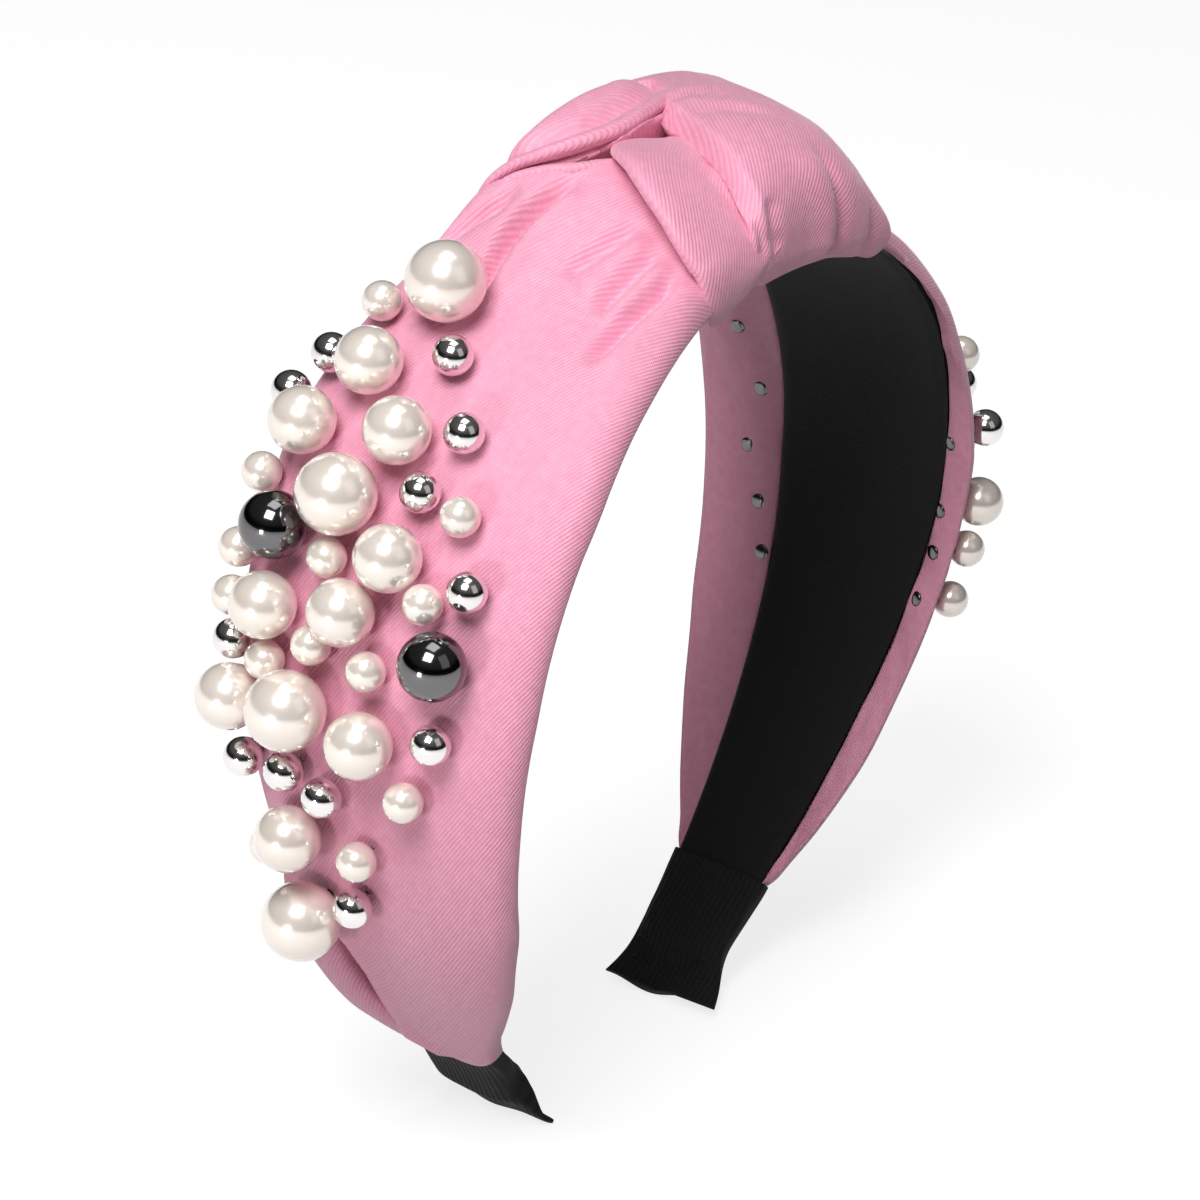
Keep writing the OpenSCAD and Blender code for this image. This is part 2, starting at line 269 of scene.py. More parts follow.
def weave_axes(tree):
    """The cloth's own coordinates, in millimetres along it and across it."""
    uv = tree.nodes.new("ShaderNodeUVMap")
    uv.uv_map = "weave"
    split = tree.nodes.new("ShaderNodeSeparateXYZ")
    tree.links.new(uv.outputs["UV"], split.inputs[0])
    return [math_node(tree, "MULTIPLY", split.outputs[i], 1 / MM) for i in (0, 1)]


def lines(tree, along, across, pitch, degrees):
    """Waves between -1 and 1 whose lines cross the cloth at this angle from straight across."""
    a = math_node(tree, "MULTIPLY", along, math.cos(math.radians(degrees)) * 2 * math.pi / pitch)
    b = math_node(tree, "MULTIPLY", across, math.sin(math.radians(degrees)) * 2 * math.pi / pitch)
    return math_node(tree, "SINE", math_node(tree, "ADD", a, b))


def object_noise(tree, scale, detail=2.0):
    coords = tree.nodes.new("ShaderNodeTexCoord")
    texture = tree.nodes.new("ShaderNodeTexNoise")
    texture.inputs["Scale"].default_value = scale
    texture.inputs["Detail"].default_value = detail
    tree.links.new(coords.outputs["Object"], texture.inputs["Vector"])
    return texture.outputs[0]


def add_bump(tree, shader, height, distance, strength=1.0):
    bump = tree.nodes.new("ShaderNodeBump")
    bump.inputs["Strength"].default_value = strength
    bump.inputs["Distance"].default_value = distance
    tree.links.new(height, bump.inputs["Height"])
    tree.links.new(bump.outputs[0], shader.inputs["Normal"])


def tint(tree, shader, factor, dark, light):
    mix = tree.nodes.new("ShaderNodeMix")
    mix.data_type = "RGBA"
    mix.inputs[6].default_value, mix.inputs[7].default_value = (*dark, 1), (*light, 1)
    tree.links.new(factor, mix.inputs[0])
    tree.links.new(mix.outputs[2], shader.inputs["Base Color"])


def satin():
    """Fine diagonal twill in the bump, with painted light on its ridges and painted shade in the grooves
    between them, mixed with a random slub in the tone.
    """
    m, tree, shader = material("pink satin", SATIN, 0.5, Sheen_Weight=0.45, Sheen_Roughness=0.5,
                               Specular_IOR_Level=0.5)
    shader.inputs["Sheen Tint"].default_value = (1.0, 0.8, 0.88, 1)
    along, across = weave_axes(tree)
    twill = lines(tree, along, across, TWILL_PITCH, -56)
    cross = lines(tree, along, across, 0.31, 32)
    slub = object_noise(tree, 700)
    height = math_node(tree, "ADD", twill, math_node(tree, "MULTIPLY", cross, 0.3))
    ridge = math_node(tree, "ADD", math_node(tree, "MULTIPLY", twill, 0.5), 1.0)
    share = math_node(tree, "MULTIPLY", ridge, slub)
    # Painted shade in the twill's grooves and painted light on its ridges, times a random slub tone
    tint(tree, shader, share, SATIN_GROOVE_SHADE, SATIN)
    add_bump(tree, shader, height, 0.028 * MM)
    return m


def ribbon(name, pitch, degrees, depth):
    m, tree, shader = material(name, (0.0095, 0.0085, 0.0095), 0.8, Sheen_Weight=0.06, Specular_IOR_Level=0.2)
    along, across = weave_axes(tree)
    wales = lines(tree, along, across, pitch, degrees)
    # Painted light and shade: the ribs of the wales are painted lighter and the hollows between them darker,
    # following the bump
    tint(tree, shader, math_node(tree, "ADD", math_node(tree, "MULTIPLY", wales, 0.5), 0.5),
         (0.006, 0.0055, 0.0065), (0.012, 0.011, 0.012))
    add_bump(tree, shader, wales, depth * MM)
    return m


def pearl():
    """A lacquered pearl: broad lustre under a hard clear coat."""
    m, tree, shader = material("ivory pearl", (0.86, 0.79, 0.72), 0.24, Metallic=0.35, Coat_Weight=1.0,
                               Coat_Roughness=0.03, Coat_IOR=1.75, Specular_IOR_Level=0.8)
    tint(tree, shader, object_noise(tree, 180), (0.90, 0.79, 0.70), (0.94, 0.865, 0.795))
    return m


def plating(name, colour, roughness):
    m, tree, shader = material(name, colour, roughness, Metallic=1.0)
    add_bump(tree, shader, object_noise(tree, 900), 0.004 * MM)
    return m


def hoop_plastic():
    m, tree, shader = material("hoop plastic", (0.02, 0.02, 0.021), 0.5)
    add_bump(tree, shader, object_noise(tree, 1500), 0.01 * MM)
    return m


SATIN = (0.85, 0.38, 0.515)
# Painted shade: the darker colour put into the twill's grooves
SATIN_GROOVE_SHADE = (0.74, 0.265, 0.40)
TWILL_PITCH = 0.52
PINK = satin()
LINING = ribbon("black lining", 0.45, 0, 0.02)
TIP_RIBBON = ribbon("black ribbed ribbon", 0.95, 90, 0.07)
PEARL = pearl()
SILVER = plating("bright silver plating", (0.80, 0.78, 0.77), 0.13)
GUNMETAL = plating("dark gunmetal plating", (0.17, 0.165, 0.17), 0.1)
RIVET = plating("rivet steel", (0.15, 0.145, 0.15), 0.2)
THREAD = ribbon("grey thread", 0.3, 35, 0.03)
PLASTIC = hoop_plastic()

# ---------------------------------------------------------------- the band's middle line
MID_Y = sum(corner[1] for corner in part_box("crown_core")) / 2 / MM
hoop_y = table([[90, 0], [200, 2.5]], 1)


def place(s, y, off):
    """on_band() with y counted from the middle of the hoop, in the row frame."""
    p = on_band(s, y, off)
    p[..., 1] += MID_Y
    return p


def islands(node):
    """The separate pieces of a CAD node, as arrays of points in millimetres."""
    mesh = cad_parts[node].data
    points = np.array([v.co for v in mesh.vertices]) / MM
    keys = np.round(points, 4)
    _, same = np.unique(keys, axis=0, return_inverse=True)
    same = same.ravel()
    parent = np.arange(same.max() + 1)

    def root(i):
        while parent[i] != i:
            parent[i] = parent[parent[i]]
            i = parent[i]
        return i

    for edge in mesh.edges:
        a, b = root(same[edge.vertices[0]]), root(same[edge.vertices[1]])
        parent[a] = b
    roots = np.array([root(i) for i in same])
    return [points[roots == r] for r in np.unique(roots)]


# Radius of each kind; the larger beads sit on thicker pins
BEAD_SIZES = {"pearls_12mm": 6.0, "pearls_10mm": 5.0, "pearls_8mm": 4.0, "pearls_6mm": 3.0,
              "silver_beads": 3.0, "gunmetal_beads": 5.0}
LARGE_R = 3.5
BORE_R = {"large": 0.83, "small": 0.53}
PIN_R = {"large": 0.8, "small": 0.5}
RIVET_HEAD_R = 1.25


def side_nodes(side):
    return [n for n in BEAD_SIZES if f"{side}_{n}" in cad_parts]


def bead_places(side):
    """(centre, radius, outward axis, rivet's depth, kind) of every bead on one side."""
    rivets = [p for size in ("large", "small") for p in islands(f"{side}_{size}_rivets")]
    found = []
    for kind in side_nodes(side):
        for points in islands(f"{side}_{kind}"):
            centre = (points.min(axis=0) + points.max(axis=0)) / 2
            rivet = min(rivets, key=lambda p: np.linalg.norm(p - centre, axis=1).min())
            reach = np.linalg.norm(rivet - centre, axis=1)
            head = rivet[reach > reach.max() - 0.2].mean(axis=0)
            found.append((centre, BEAD_SIZES[kind], unit(centre - head), np.linalg.norm(centre - head), kind))
    return found


BEADS = {side: bead_places(side) for side in SIGN}


def nearest_place(side, point):
    """(|s|, y) of a point in space, found on a fine row of places."""
    a = np.linspace(20, 170, 1501)
    row = place(SIGN[side] * a, 0, 0)
    across = place(SIGN[side] * a, 0, 1) - row
    away = point - row
    away[:, 1] = 0
    off = np.sum(away * across, axis=1)
    miss = np.linalg.norm(away - off[:, None] * across, axis=1)
    return a[miss.argmin()], point[1] - MID_Y


def offset_of(side, point):
    """How far outwards of the hoop's outer face a point in space is."""
    along, across = nearest_place(side, point)
    foot = place(SIGN[side] * along, across, 0)
    return np.dot(point - foot, place(SIGN[side] * along, across, 1) - foot)


# ---------------------------------------------------------------- cloth details
def fold(p, q, points, depth, width, lift=0.0):
    """A crease along points: a valley of this depth, with a raised shoulder mostly on its -q side."""
    d, along, side = distance_to_line(p, q, points)
    fade = smoothstep(np.minimum(along, 1 - along) / 0.25)
    shoulder = 2.2 * width
    leaning = 0.575 - 0.425 * side * np.clip(d / width, 0, 1)
    raised = lift * np.exp(-(((d - shoulder) / shoulder) ** 2)) * leaning
    return (raised - depth * np.exp(-((d / width) ** 2))) * fade


def ledge(p, q, points, drop, reach, lean, wall=1.2):
    """A folded brink along points, with the surface on its +q side lying lower, partly under it.

    Gives the change of height and the shift towards +q."""
    d, along, side = distance_to_line(p, q, points)
    d = d * side
    fade = smoothstep(np.minimum(along, 1 - along) / 0.2)
    down = smoothstep(d / wall)
    low = down * (1 - smoothstep((d - 0.45 * reach) / (0.55 * reach)))
    brink = 0.12 * drop * np.exp(-(((d + 1.4) / 1.3) ** 2))
    return fade * (brink - drop * low), fade * lean * smoothstep((d + 3.5) / 3.5) * (1 - down)


def dimples(side, a, y):
    """The cover is pulled in a little under every bead."""
    total = np.zeros(np.shape(a))
    for centre, radius, _, _, _ in BEADS[side]:
        s0, y0 = nearest_place(side, centre)
        d = np.hypot(a - s0, y - y0)
        total -= 0.5 * np.exp(-((d / (0.62 * radius)) ** 2))
    return total


# ---------------------------------------------------------------- the covers
LEFT_FOLDS = [
    dict(points=[(165, 7.5), (169, 5), (173, 1.5)], depth=1.5, width=0.9, lift=0.8),
    dict(points=[(17, -7.5), (22, -5), (30, -1)], depth=1.7, width=1.4, lift=0.8),
    dict(points=[(19, -12), (24, -10.5), (33, -9)], depth=1.8, width=1.3, lift=0.9),
    dict(points=[(19.5, -15), (25, -15.5), (33, -14), (41, -13)], depth=2.3, width=1.2, lift=0.9),
    dict(points=[(15, 4.6), (20.8, 7.4), (24.8, 8.7), (28.4, 9.3), (32, 9.2), (38, 8.6)],
         depth=3.0, width=1.2, lift=1.3),
    dict(points=[(20, 12), (24, 13.8), (28, 17), (32, 20)], depth=1.6, width=1.1, lift=0.6),
    dict(points=[(-8, 8.6), (2, 8.6), (11, 9.6), (16, 13), (20.5, 17.5)], depth=1.2, width=1.3, lift=0.4),
    dict(points=[(-8, 15), (1, 15.5), (7, 18), (13, 21)], depth=1.3, width=1.4, lift=0.5),
]
RIGHT_FOLDS = [
    dict(points=[(30, 10), (38, 14), (48, 16)], depth=0.9, width=2.0, lift=0.4),
    dict(points=[(30, -8), (38, -12), (47, -13)], depth=0.9, width=2.0, lift=0.4),
]
LOWER_LEDGE = dict(
    points=[(128, 14), (136, 9), (142, 6.2), (148, 5), (155, 5.2), (162, 6), (168, 6.4), (174, 6)],
    drop=3.2, reach=14, lean=1.5,
)
slit_y = table([[0, 4.4], [8, 4.9], [10, 5.7], [12.5, 7.6], [15, 10], [17, 12.6], [19, 15.6], [21, 18.5],
                [23, 21], [26, 23], [32, 24], [50, 24]], 1)
front_lobe_h = table([[-5, 10], [8, 10.8], [12.5, 11.4], [16.5, 10.8], [21, 9.6], [28, 7], [36, 5.3],
                      [46, 4.6]], 2)
back_lobe_h = table([[0, 15.8], [6, 15.1], [12, 14.1], [16, 13], [18.5, 11.8], [22, 9.6], [27, 7], [34, 4.9],
                     [42, 4.6]], 2)
slit_gape = table([[0, 3.6], [8, 3.2], [13, 2.6], [18, 2], [22, 1.4], [26, 0.4], [30, 0], [50, 0]], 2)
SLIT_DEPTH, SLIT_OVERHANG, SLIT_UNDERCUT = 3.6, 3.4, 2.4
KNOT_END = 46.0


def left_lobes(a, y, half, middle):
    """The left cover's two lobes, which the slit parts, where it runs into the knot: height and shift."""
    end_share = smoothstep(-a / 10)
    a = np.maximum(a, 0)
    split = slit_y(a)
    front_t = np.clip((split - y) / (split - (middle - half)), 0, 1)
    back_t = np.clip((y - split) / np.maximum(middle + half - split, 2), 0, 1)
    front = front_lobe_h(a) * (1 - 0.72 * front_t**2.1)
    back = back_lobe_h(a) * (1 - 0.42 * np.clip((back_t - 0.6) / 0.4, 0, 1) ** 2) * (1 - 0.2 * end_share)
    gape = slit_gape(a)
    front = front - gape * smoothstep((y - split + 1.05 * gape) / (1.05 * gape + 0.3))
    share = np.clip(gape / 2, 0, 1)
    back = back - 1.8 * share * np.exp(-(((y - split - 3.4) / 1.8) ** 2))
    gap = np.exp(-(((y - split - 0.4) / 1.1) ** 2)) * share
    over = np.exp(-(((y - split - 2.9) / 1.9) ** 2)) * share
    under = np.exp(-(((y - split - 0.7) / 0.8) ** 2)) * share
    side = smoothstep((y - split - 0.6) / 2)
    height = front * (1 - side) + back * side
    return height - SLIT_DEPTH * gap, SLIT_UNDERCUT * under - SLIT_OVERHANG * over


def cover_top(side, a, y, half, middle):
    """The outer face before it rolls over at its edges: its offset, and its shift towards the back."""
    u = (y - middle) / half
    top = FACE_OFF + foam(a, u) + 0.12 * noise(a, y, 9, 3 if side == "left" else 4)
    shift = np.zeros(np.shape(top))
    if side == "left":
        share = smoothstep((KNOT_END - a) / 22)
        lobes, lobe_shift = left_lobes(a, y, half, middle)
        drop, brink_shift = ledge(a, y, **LOWER_LEDGE)
        top = top * (1 - share) + lobes * share + drop
        shift = lobe_shift * share + brink_shift
    else:
        top = top + 1.5 * smoothstep((24 - a) / 12) * (1 - u**2)
    for crease in LEFT_FOLDS if side == "left" else RIGHT_FOLDS:
        top = top + fold(a, y, **crease)
    return top + dimples(side, a, y), shift


MARGIN_OFF = -1.2
COVER_START = {"left": -12, "right": 8}
COVER_ROUND, COVER_END = 167.5, 174.5
LIP_GAP, UNDER_OFF = 0.75, 0.08
TURN_START, TURN_END = 20, 36


def margin_off(a, y):
    """Offset of the turned-in margins' face, with the soft wrinkles of loosely glued cloth."""
    ripple = 0.45 * noise(a + y, 2 * y, 8, 8) + 0.2 * noise(a, 3 * y, 3.5, 9)
    return MARGIN_OFF + ripple


def cover(side):
    """A padded cover: its outer face, rolled edges, and the margins turned in beside the lining."""
    a = np.concatenate([np.arange(COVER_START[side], KNOT_END, 0.5), np.arange(KNOT_END, 120, 0.9),
                        np.arange(120, COVER_END, 0.6)])
    across = np.sin(np.linspace(-1, 1, 151) * math.pi / 2)
    band = np.maximum(a, 0)
    half = cover_half(band) - 0.4 * smoothstep((a - 150) / 15)
    if side == "left":
        half = half + 1.2 * np.sin(np.clip((a - 162) / 12, 0, 1) * math.pi / 2)
    middle = DRIFT[side](band) + hoop_y(band)
    if side == "right":
        middle = middle * smoothstep((a + 8) / 40)
    end = np.sqrt(np.clip(1 - (np.maximum(a - COVER_ROUND, 0) / (COVER_END - COVER_ROUND + 0.1)) ** 2, 0, 1))
    half = half * end
    grid_a, u = np.meshgrid(a, across, indexing="ij")
    h, m = half[:, None], middle[:, None]
    y = m + h * u
    raised, shift = cover_top(side, grid_a, y, h, m)
    raised = raised * np.maximum(end[:, None], 0.6)
    roll = np.sqrt(1 - np.abs(u) ** (10 + h / 2))
    outer = place(SIGN[side] * grid_a, y + shift * roll, MARGIN_OFF + (raised - MARGIN_OFF) * roll)
    plain_off = MARGIN_OFF + (FACE_OFF + foam(grid_a, u) - MARGIN_OFF) * roll
    plain = place(SIGN[side] * grid_a, y, plain_off)
    # Underside: from each edge in to the lining's lip, up beside it, and across over the hoop
    rows = a[:, None]
    lip = core_half(band)[:, None] + LIP_GAP
    hoop = hoop_y(band)[:, None]
    margin = np.linspace(0, 1, 15)[None, 1:]
    sides = []
    for direction in (1, -1):
        edge, inner = m + direction * h, hoop + direction * np.minimum(lip, h - 0.3)
        along = edge + (inner - edge) * margin
        settle = smoothstep(margin * 4)
        depth = MARGIN_OFF * (1 - settle) + margin_off(rows, along) * settle
        sides.append(place(SIGN[side] * rows, along, depth))
        sides.append(place(SIGN[side] * rows, inner, UNDER_OFF))
    back, back_lip, front, front_lip = sides
    rings = np.concatenate([outer, back, back_lip, front_lip, front[:, ::-1]], axis=1)
    woven = np.concatenate([plain, rings[:, plain.shape[1]:]], axis=1)
    lengths = np.linalg.norm(np.diff(woven, axis=1, append=woven[:, :1]), axis=2)
    around = np.concatenate([np.zeros((len(a), 1)), np.cumsum(lengths, axis=1)], axis=1)
    around += m - h
    obj = tube_mesh(f"{side}_cover", rings, weave_uv(a, around))
    obj.data.materials.append(PINK)
    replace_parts(obj, *(f"{side}_{part}" for part in ("cover_outer", "cover_inner", "padding")))
    bend(obj, side)
    return obj


def bend(obj, side):
    """Bakes the piece's placement into its mesh; the places of the flex hinge are found, but the piece is not
    turned.
    """
    points = [place(SIGN[side] * s, 0, 0) * MM for s in (TURN_START, TURN_END)]
    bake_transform(obj)


def lower_fold():
    """The slack at the left cover's lower back edge, which bulges out from under the main panel."""
    rows = [(-126, 15.0, 0.9, 3.0, 3.0), (-134, 14.6, 2.2, 3.7, 4.6), (-142, 13.8, 3.0, 3.9, 5.2),
            (-150, 12.4, 3.1, 3.8, 5.0), (-157, 10.8, 2.9, 3.4, 4.6), (-163.5, 9.2, 2.0, 2.8, 3.8),
            (-169.5, 7.0, 1.2, 2.2, 3.0)]
    return cloth_roll("left_lower_fold", rows, heart=(12, -40), body="left_arm")


# ---------------------------------------------------------------- the lining
LINING_OVERHANG = 0.62
LINING_INNER_OFF, LINING_OUTER_OFF = -2.3, -1.66


def lining(side):
    """Half of the black lining: a flat ribbon whose edges turn up beside the hoop."""
    a = np.linspace(0, CORE_END, 260)
    half, middle = core_half(a)[:, None] + LINING_OVERHANG, hoop_y(a)[:, None]
    grid_a, u = np.meshgrid(a, np.linspace(-1, 1, 41), indexing="ij")
    y = middle + half * u
    rise = 0.6 * np.clip(np.abs(u) * 8 - 7, 0, 1) ** 2 + 0.05 * noise(grid_a, y, 8, 5)
    inner = place(SIGN[side] * grid_a, y, LINING_INNER_OFF + rise)
    outer = place(SIGN[side] * grid_a, y, LINING_OUTER_OFF)
    rings = np.concatenate([inner, outer[:, ::-1]], axis=1)
    around = np.concatenate([y, y[:, ::-1], y[:, :1]], axis=1)
    obj = tube_mesh(f"{side}_lining_ribbon", rings, weave_uv(a, around))
    obj.data.materials.append(LINING)
    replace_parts(obj, f"{side}_lining", "crown_lining")
    bend(obj, side)
    return obj


# ---------------------------------------------------------------- the tips
TIP_START = 170.5
TIP_END = {"left": 193, "right": 193.6}
TIP_SWAY = -1.6
SEAM_S = 189.5
THREAD_R, THREAD_SIDES = 0.24, 10


def tip_shape(a):
    """Half width and middle of the flat sock at these places along it."""
    half = tip_half(a) + 0.5
    middle = hoop_y(a) + TIP_SWAY * smoothstep((a - 180) / 14)
    return half, middle


def tip_faces(side, a, y):
    """Offsets of the sock's outer and inner faces: flat, but for the hoop's rounded end inside it."""
    sewn = smoothstep((a - CORE_END + 3) / 5)
    outer = 1.65 * (1 - sewn) + 0.1 * sewn - 0.35 * smoothstep((177 - a) / 6)
    inner = -3.0 * (1 - sewn) - 1.25 * sewn
    reach = np.hypot(y - hoop_y(a), np.maximum(a - (CORE_END - 6.0), 0))
    relief = smoothstep((core_half(186.0) + 1.2 - reach) / 1.6 + 0.5) * smoothstep((a - 174) / 6)
    wave = smoothstep((a - 187) / 8) * (0.6 * np.sin(y / 3.1 + 1.0) + 0.3 * np.sin(y / 1.7))
    shared = wave + 0.1 * noise(a, y, 4, 6)
    if side == "left":
        curl = 2.8 * smoothstep((a - 176) / 15)
        outer, inner = outer + curl, inner + curl * smoothstep((a - CORE_END) / 5)
    return outer + 0.3 * relief + shared, inner - 0.4 * relief + shared


def tip(side):
    """A flat sewn sock of ribbed ribbon, with the hoop's rounded end showing through."""
    a = np.linspace(TIP_START, TIP_END[side], 120)
    half, middle = (values[:, None] for values in tip_shape(a))
    t = np.linspace(0, 2 * math.pi, 161)[:-1][None, :]
    y_share, thick = np.cos(t), np.sin(t)
    y = middle + half * np.sign(y_share) * np.abs(y_share) ** 0.8
    grid_a = np.repeat(a[:, None], y.shape[1], axis=1)
    outer, inner = tip_faces(side, grid_a, y)
    off = (outer + inner) / 2 + (outer - inner) / 2 * np.sign(thick) * np.abs(thick) ** 0.45
    slant = 0.1 * (y - middle) * smoothstep((grid_a - 183) / 10)
    fray = 0.4 * np.sin(y / 2.3) * smoothstep((grid_a - 189) / 5)
    rings = place(SIGN[side] * (grid_a + slant + fray), y, off)
    rings[..., 2] = np.maximum(rings[..., 2], 0.02)
    around = np.concatenate([y, y[:, :1]], axis=1)
    obj = tube_mesh(f"{side}_tip_sock", rings, weave_uv(a, around))
    obj.data.materials.append(TIP_RIBBON)
    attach(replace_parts(obj, f"{side}_tip_wrap"), f"{side}_arm")
    return obj


def stitches(side):
    """The row of thread that sews the tip shut, lying on the sock's inner face, a little uneven."""
    rng = np.random.default_rng(11 if side == "left" else 12)
    rings, faces, corners = [], [], []
    for points in islands(f"{side}_tip_stitches"):
        low, high = points.min(axis=0), points.max(axis=0)
        t = np.linspace(-1, 1, 13)
        y = (low[1] + high[1]) / 2 - MID_Y + TIP_SWAY / 2 + (high[1] - low[1]) / 2 * t
        s = SEAM_S + 0.1 * y + rng.uniform(-0.15, 0.15) * (1 + t)
        inner = tip_faces(side, s, y)[1]
        spine = place(SIGN[side] * s, y, inner - 0.12 + 0.3 * t**4)
        seam = place(SIGN[side] * s, y, inner)
        inwards = unit(place(SIGN[side] * s, y, inner - 1) - seam)
        forwards = unit(place(SIGN[side] * (s + 1), y, inner) - seam)
        base = len(rings)
        for i, radius in enumerate(THREAD_R * np.sqrt(1.02 - np.abs(t) ** 3)):
            for k in range(THREAD_SIDES):
                angle = 2 * math.pi * k / THREAD_SIDES
                outwards = math.cos(angle) * inwards[i] + math.sin(angle) * forwards[i]
                rings.append(spine[i] + radius * outwards)
        for i in range(len(t) - 1):
            here, there = base + i * THREAD_SIDES, base + (i + 1) * THREAD_SIDES
            for k in range(THREAD_SIDES):
                n = (k + 1) % THREAD_SIDES
                faces.append((here + k, here + n, there + n, there + k))
                low, high = k / THREAD_SIDES, (k + 1) / THREAD_SIDES
                corners += [(i, low), (i, high), (i + 1, high), (i + 1, low)]
        for i in (0, len(t) - 1):
            faces.append(tuple(base + i * THREAD_SIDES + k for k in range(THREAD_SIDES)))
            corners += [(i, k / THREAD_SIDES) for k in range(THREAD_SIDES)]
    obj = make_mesh(f"{side}_tip_thread", rings, faces, corners)
    fix_normals(obj)
    obj.data.materials.append(THREAD)
    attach(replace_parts(obj, f"{side}_tip_stitches"), f"{side}_arm")


# ---------------------------------------------------------------- the knot
def straight(rows):
    xs, ys = np.array(rows, float).T
    return lambda x: np.interp(x, xs, ys)


WRAP_LEFT = between([(-50, 7), (0, 5), (30, 5), (50, 7), (62, 8.5), (76, 5), (85, 0), (95, -3.8), (112, -6.5),
                     (135, -8.8), (158, -10.4), (182, -11), (230, -8)], 240)
WRAP_RIGHT = between([(-50, 27), (0, 30), (45, 31), (90, 29.5), (112, 27.5), (135, 26), (158, 26), (185, 27),
                      (230, 24)], 240)
WRAP_HEIGHT = straight([(-1, 14.2), (-0.9, 15.3), (-0.7, 15.9), (-0.35, 16.4), (0, 16.1), (0.27, 14.6),
                        (0.51, 11.9), (0.76, 8.2), (0.9, 6.2), (1, 5.2)])
WRAP_THICKNESS = 3.5
WRAP_FOLDS = [
    dict(points=[(10, 37), (9.3, 29), (8, 22), (7, 16)], depth=1.1, width=1.5, lift=0.9),
    dict(points=[(-6, 31), (-7, 27), (-6, 21)], depth=0.9, width=1.4, lift=0.5),
    dict(points=[(-10, 34), (-9.5, 28), (-9, 22), (-8, 15)], depth=0.8, width=1.0, lift=0.7),
    dict(points=[(-1, -5), (4, -3), (10, 2)], depth=0.5, width=1.0, lift=0.3),
    dict(points=[(-3, -1), (3, 4), (8, 11)], depth=0.5, width=1.1, lift=0.3),
    dict(points=[(20, 33), (19, 26), (17, 19)], depth=0.5, width=1.5, lift=0.3),
    dict(points=[(14, -30), (16, -22), (20, -12)], depth=0.8, width=1.5, lift=0.4),
    dict(points=[(23, -30), (24, -22), (26, -14)], depth=0.7, width=1.4, lift=0.4),
]


def wrap_profile(theta, height):
    """(y, off) around the wrapping loop at angles theta, for a crest of this height."""
    c, s = np.cos(theta), np.sin(theta)
    reach = np.where(c < 0, 22.3, 23.5)
    over = np.maximum(s, 0)
    under = np.clip(-s * 2.3, 0, 1)
    y = np.sign(c) * reach * np.where(s > 0, np.abs(c) ** 0.66, np.abs(c) ** 1.1)
    off = height * over**0.72 * (s > 0) - 3.7 * smoothstep(under) * (s <= 0)
    return y, off


def knot_wrap():
    degrees = np.linspace(-48, 228, 200)
    w = np.sin(np.linspace(-1, 1, 121) * math.pi / 2)
    left = np.interp(degrees, WRAP_LEFT[:, 0], WRAP_LEFT[:, 1])[:, None]
    right = np.interp(degrees, WRAP_RIGHT[:, 0], WRAP_RIGHT[:, 1])[:, None]
    s = (left + right) / 2 + (right - left) / 2 * w[None, :]
    theta, crest = np.broadcast_arrays(np.radians(degrees)[:, None], WRAP_HEIGHT(w)[None, :])
    y, off = wrap_profile(theta, crest)
    dy, doff = np.gradient(y, axis=0), np.gradient(off, axis=0)
    run = np.hypot(dy, doff)
    q = np.cumsum(run, axis=0)
    top = q[np.abs(degrees - 90).argmin()][None, :]
    q = q - top
    out = np.stack([doff, -dy], axis=-1) / run[..., None]
    out *= np.sign((y * out[..., 0] + (off - 5) * out[..., 1]))[..., None]
    push = 0.22 * noise(s, q, 8, 21)
    for crease in WRAP_FOLDS:
        push = push + fold(s, q, **crease)
    roll = np.clip((np.abs(w) - 0.86) / 0.14, 0, 1)[None, :] ** 2
    push = push - 1.9 * roll
    outer = place(s, y + push * out[..., 0], off + push * out[..., 1])
    wi = np.linspace(-0.97, 0.97, 25)
    si = (left + right) / 2 + (right - left) / 2 * wi[None, :]
    ti, crest_i = np.broadcast_arrays(np.radians(degrees)[:, None], WRAP_HEIGHT(wi)[None, :])
    yi, offi = wrap_profile(ti, crest_i - WRAP_THICKNESS)
    inner = place(si, yi * 0.9, np.where(offi < 0, offi + 1.0, offi))
    rings = np.concatenate([outer, inner[:, ::-1]], axis=1)
    around = -np.concatenate([s, si[:, ::-1], s[:, :1]], axis=1)
    run_uv = np.concatenate([q, np.repeat(q[:, -1:], si.shape[1], axis=1), q[:, :1]], axis=1)
    uv = np.stack([run_uv, around], axis=-1)
    obj = tube_mesh("knot_wrap", rings, uv)
    obj.data.materials.append(PINK)
    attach(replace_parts(obj, "knot_right_loop"), "crown")
    return obj


ROLL_RINGS, ROLL_SIDES = 90, 72


